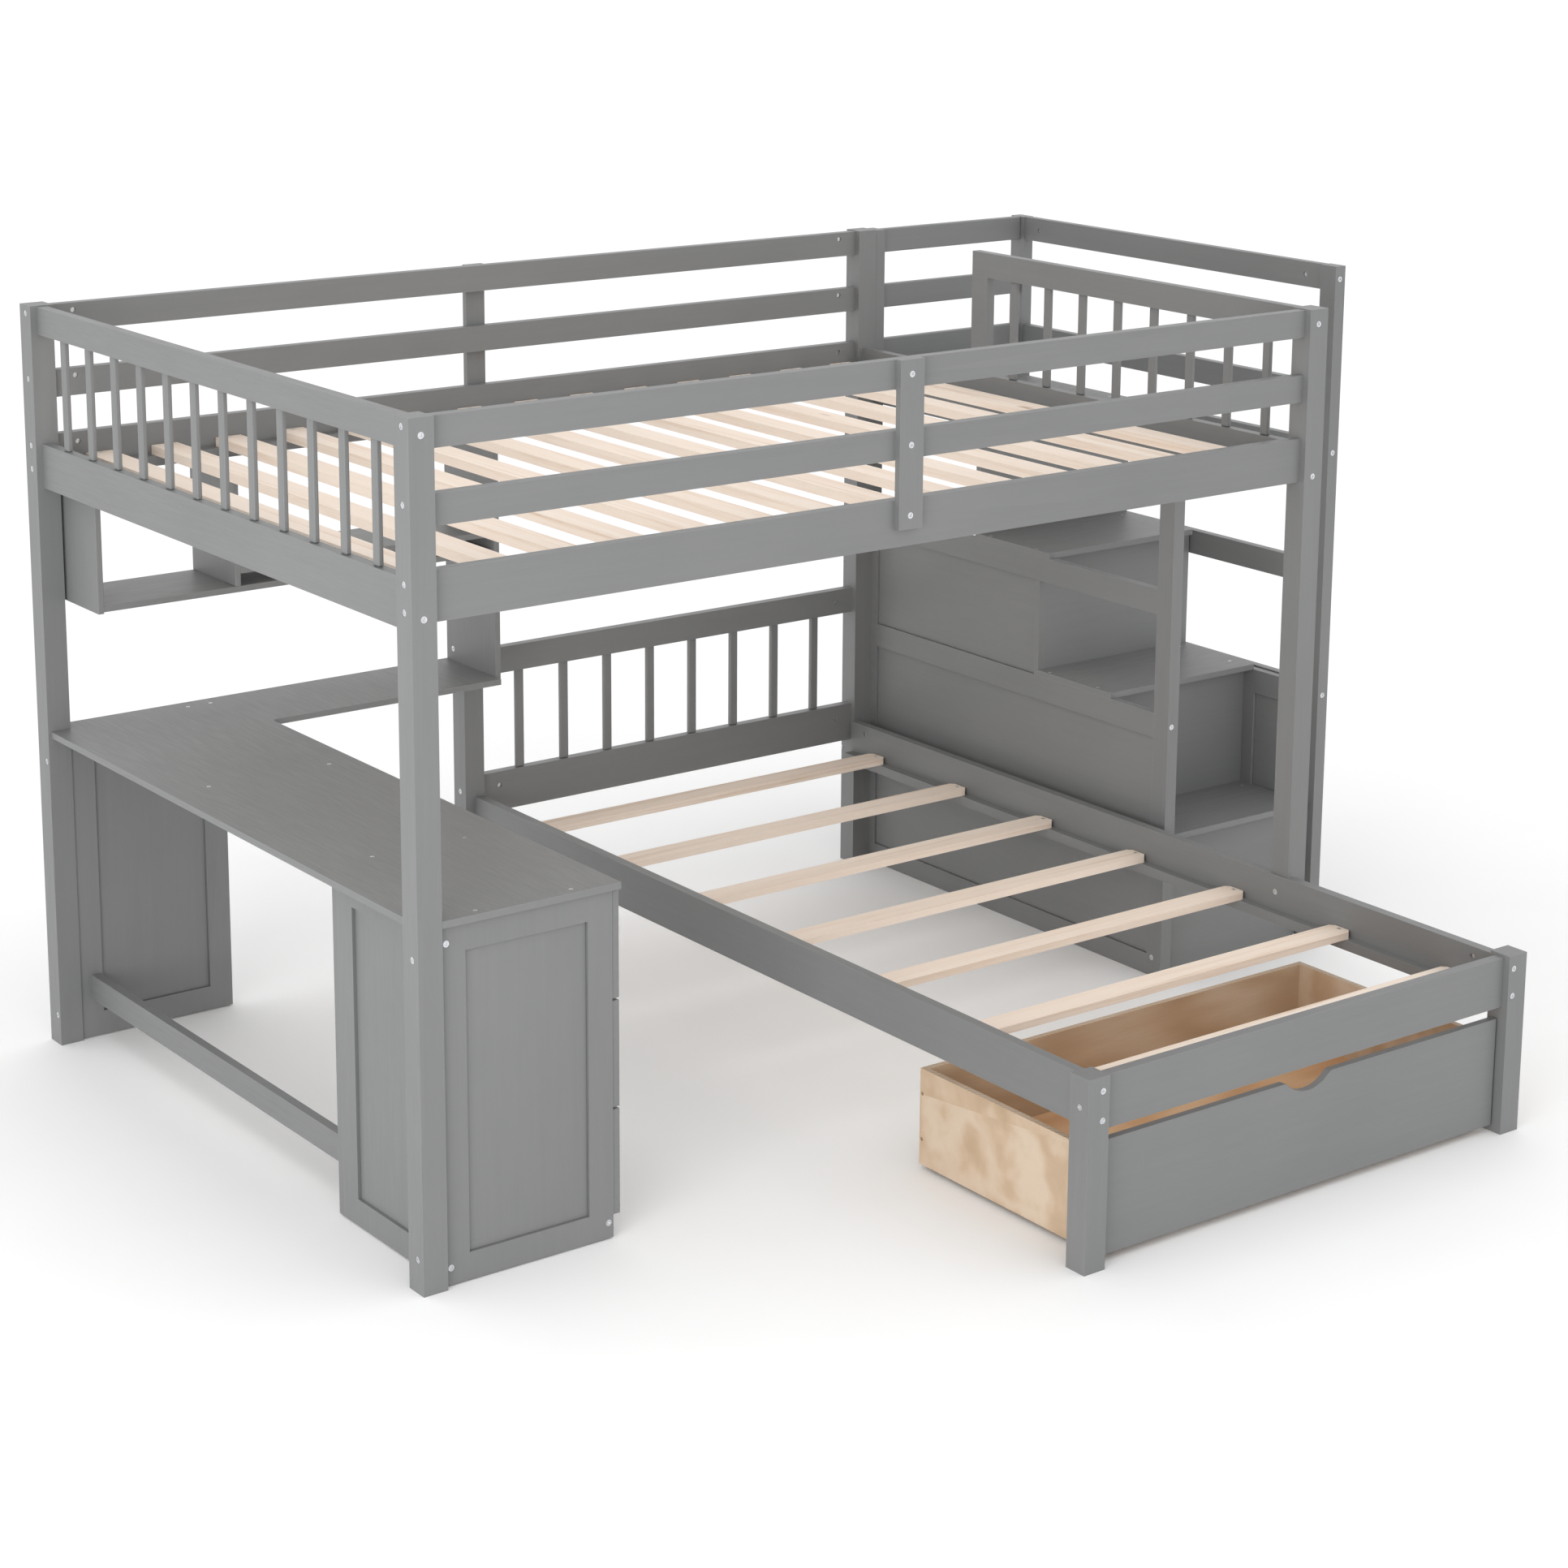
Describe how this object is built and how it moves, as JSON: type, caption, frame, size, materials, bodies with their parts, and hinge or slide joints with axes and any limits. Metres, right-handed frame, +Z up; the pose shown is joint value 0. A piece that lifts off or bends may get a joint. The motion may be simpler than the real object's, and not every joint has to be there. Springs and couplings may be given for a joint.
{
  "type": "loft bed with desk",
  "caption": "Loft bed with guard rails over an L-shaped desk with a drawer pedestal and shelf, a lower bed with a drawer beneath it set across it, and stairs at one end.",
  "frame": {"origin": "on the floor, at the centre of the whole footprint", "axes": "+Z up, X along the wall with the stairs at +X and the desk at -X, +Y towards the wall with the lower bed's foot at -Y"},
  "size_m": [2.46, 2, 1.457],
  "materials": {
    "grey_wood": "satin grey paint",
    "pine": "planed, unpainted",
    "plywood": "clear lacquer",
    "zinc": "bright zinc plate",
    "wheel_rubber": "matt"
  },
  "bodies": {
    "frame": {"corner_posts": "grey_wood", "front_right_post": "grey_wood", "front_rails": "grey_wood", "back_rails": "grey_wood", "guard_battens": "grey_wood", "left_end_rails": "grey_wood", "left_end_spindles": "grey_wood", "entry_end_rails": "grey_wood", "entry_end_spindles": "grey_wood", "loft_ledgers": "grey_wood", "loft_slats": "pine", "bed_posts": "grey_wood", "bed_side_rails": "grey_wood", "bed_foot_rail": "grey_wood", "headboard_rails": "grey_wood", "headboard_spindles": "grey_wood", "bed_ledgers": "grey_wood", "bed_slats": "pine", "desktop": "grey_wood", "desk_rails": "grey_wood", "support_frame": "grey_wood", "support_panel": "grey_wood", "pedestal_front_frame": "grey_wood", "pedestal_side_frame": "grey_wood", "pedestal_panels": "grey_wood", "pedestal_back": "grey_wood", "pedestal_base": "grey_wood", "drawer_runners": "zinc", "hutch_left_panel": "grey_wood", "hutch_divider": "grey_wood", "hutch_shelves": "grey_wood", "hutch_right_panel": "grey_wood", "stair_inner_posts": "grey_wood", "stair_outer_posts": "grey_wood", "stair_outer_rails": "grey_wood", "stair_back_rails": "grey_wood", "stair_inner_frame": "grey_wood", "stair_outer_frame": "grey_wood", "stair_panels": "grey_wood", "stair_treads": "grey_wood", "stair_risers": "grey_wood", "stair_cleats": "grey_wood", "bolts": "zinc", "barrel_nuts": "zinc", "screws": "zinc"},
    "bed_drawer": {"bed_drawer_front": "grey_wood", "bed_drawer_box": "plywood", "bed_drawer_bottom": "plywood", "caster_brackets": "zinc"},
    "bottom_drawer": {"bottom_drawer_front": "grey_wood", "bottom_drawer_box": "plywood"},
    "middle_drawer": {"middle_drawer_front": "grey_wood", "middle_drawer_box": "plywood"},
    "top_drawer": {"top_drawer_front": "grey_wood", "top_drawer_box": "plywood"},
    "wheel_front_left": {"caster_wheel_front_left": "wheel_rubber"},
    "wheel_front_right": {"caster_wheel_front_right": "wheel_rubber"},
    "wheel_back_left": {"caster_wheel_back_left": "wheel_rubber"},
    "wheel_back_right": {"caster_wheel_back_right": "wheel_rubber"}
  },
  "joints": [
    {"name": "bottom_drawer_slide", "type": "slide", "parent": "frame", "child": "bottom_drawer", "axis": [1, 0, 0], "range_m": [0, 0.24]},
    {"name": "middle_drawer_slide", "type": "slide", "parent": "frame", "child": "middle_drawer", "axis": [1, 0, 0], "range_m": [0, 0.24]},
    {"name": "top_drawer_slide", "type": "slide", "parent": "frame", "child": "top_drawer", "axis": [1, 0, 0], "range_m": [0, 0.24]},
    {"name": "bed_drawer_slide", "type": "slide", "parent": "frame", "child": "bed_drawer", "axis": [0, -1, 0], "range_m": [0, 0.45]},
    {"name": "wheel_front_left_spin", "type": "hinge", "parent": "bed_drawer", "child": "wheel_front_left", "pos_m": [-0.222, -0.915, 0.013], "axis": [1, 0, 0], "continuous": true},
    {"name": "wheel_front_right_spin", "type": "hinge", "parent": "bed_drawer", "child": "wheel_front_right", "pos_m": [0.678, -0.915, 0.013], "axis": [1, 0, 0], "continuous": true},
    {"name": "wheel_back_left_spin", "type": "hinge", "parent": "bed_drawer", "child": "wheel_back_left", "pos_m": [-0.222, -0.54, 0.013], "axis": [1, 0, 0], "continuous": true},
    {"name": "wheel_back_right_spin", "type": "hinge", "parent": "bed_drawer", "child": "wheel_back_right", "pos_m": [0.678, -0.54, 0.013], "axis": [1, 0, 0], "continuous": true}
  ],
  "couplings": [
    {"joint": "wheel_front_left_spin", "follows": "bed_drawer_slide", "rad_per_m": 76.923},
    {"joint": "wheel_front_right_spin", "follows": "bed_drawer_slide", "rad_per_m": 76.923},
    {"joint": "wheel_back_left_spin", "follows": "bed_drawer_slide", "rad_per_m": 76.923},
    {"joint": "wheel_back_right_spin", "follows": "bed_drawer_slide", "rad_per_m": 76.923}
  ]
}
